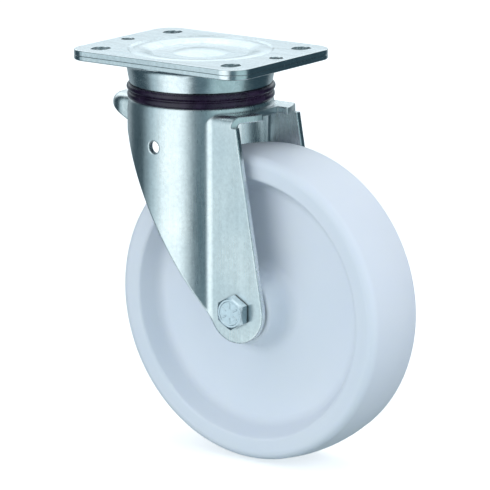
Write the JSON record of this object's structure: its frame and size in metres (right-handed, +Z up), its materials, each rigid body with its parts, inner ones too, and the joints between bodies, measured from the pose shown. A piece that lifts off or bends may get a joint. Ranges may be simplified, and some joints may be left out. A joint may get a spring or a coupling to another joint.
{
  "type": "plate-mounted swivel castor",
  "caption": "Swivel castor with a slotted top plate, sealed ball-bearing head, pressed zinc-plated fork and white plastic wheel on a bolted axle.",
  "frame": {"origin": "centre of the top plate on its upper mounting face, on the swivel axis", "axes": "+Z up out of the mounting face along the swivel axis, +X along the axle towards the nut, the wheel trails towards -Y"},
  "size_m": [0.1057, 0.2195, 0.256],
  "materials": {
    "zinc_plate": "bright zinc plating, faint rolling marks",
    "zinc_fork": "bright zinc plating with a blue-green tint, soft sheen, sheared edges",
    "zinc_fastener": "bright zinc plating, satin",
    "kingpin_steel": "turned steel, zinc plated",
    "race_steel": "turned steel",
    "ball_steel": "ground and polished bearing steel",
    "cage_steel": "pressed steel",
    "bearing_seal": "moulded rubber",
    "seal_rubber": "moulded rubber, satin, purple-black",
    "insert_nylon": "nylon ring",
    "polyamide": "moulded white polyamide, satin, slightly translucent"
  },
  "bodies": {
    "plate": {"top_plate": "zinc_plate", "neck_plate": "zinc_plate", "kingpin": "kingpin_steel", "kingpin_nut": "zinc_fastener", "lower_race": "race_steel"},
    "upper_ball_ring": {"upper_swivel_balls": "ball_steel"},
    "lower_ball_ring": {"lower_swivel_balls": "ball_steel"},
    "fork": {"fork": "zinc_fork", "dust_seal": "seal_rubber", "axle_bolt": "zinc_fastener", "axle_washer": "zinc_fastener", "axle_nut": "zinc_fastener", "nut_insert": "insert_nylon", "axle_tube": "race_steel", "bearing_spacer": "race_steel", "end_spacers": "race_steel", "near_bearing_inner_ring": "ball_steel", "far_bearing_inner_ring": "ball_steel"},
    "near_ball_set": {"near_bearing_balls": "ball_steel", "near_bearing_cage": "cage_steel"},
    "far_ball_set": {"far_bearing_balls": "ball_steel", "far_bearing_cage": "cage_steel"},
    "wheel": {"wheel": "polyamide", "near_bearing_outer_ring": "ball_steel", "far_bearing_outer_ring": "ball_steel", "near_bearing_seals": "bearing_seal", "far_bearing_seals": "bearing_seal"}
  },
  "joints": [
    {"name": "swivel", "type": "hinge", "parent": "plate", "child": "fork", "pos_m": [0, 0, 0], "axis": [0, 0, 1], "continuous": true},
    {"name": "upper_balls_roll", "type": "hinge", "parent": "plate", "child": "upper_ball_ring", "pos_m": [0, 0, 0], "axis": [0, 0, 1], "continuous": true},
    {"name": "lower_balls_roll", "type": "hinge", "parent": "plate", "child": "lower_ball_ring", "pos_m": [0, 0, 0], "axis": [0, 0, 1], "continuous": true},
    {"name": "wheel_spin", "type": "hinge", "parent": "fork", "child": "wheel", "pos_m": [0, -0.052, -0.156], "axis": [1, 0, 0], "continuous": true},
    {"name": "near_balls_roll", "type": "hinge", "parent": "fork", "child": "near_ball_set", "pos_m": [0, -0.052, -0.156], "axis": [1, 0, 0], "continuous": true},
    {"name": "far_balls_roll", "type": "hinge", "parent": "fork", "child": "far_ball_set", "pos_m": [0, -0.052, -0.156], "axis": [1, 0, 0], "continuous": true}
  ],
  "couplings": [
    {"joint": "upper_balls_roll", "follows": "swivel", "ratio": 0.5},
    {"joint": "lower_balls_roll", "follows": "swivel", "ratio": 0.5},
    {"joint": "near_balls_roll", "follows": "wheel_spin", "ratio": 0.5915},
    {"joint": "far_balls_roll", "follows": "wheel_spin", "ratio": 0.5915}
  ]
}
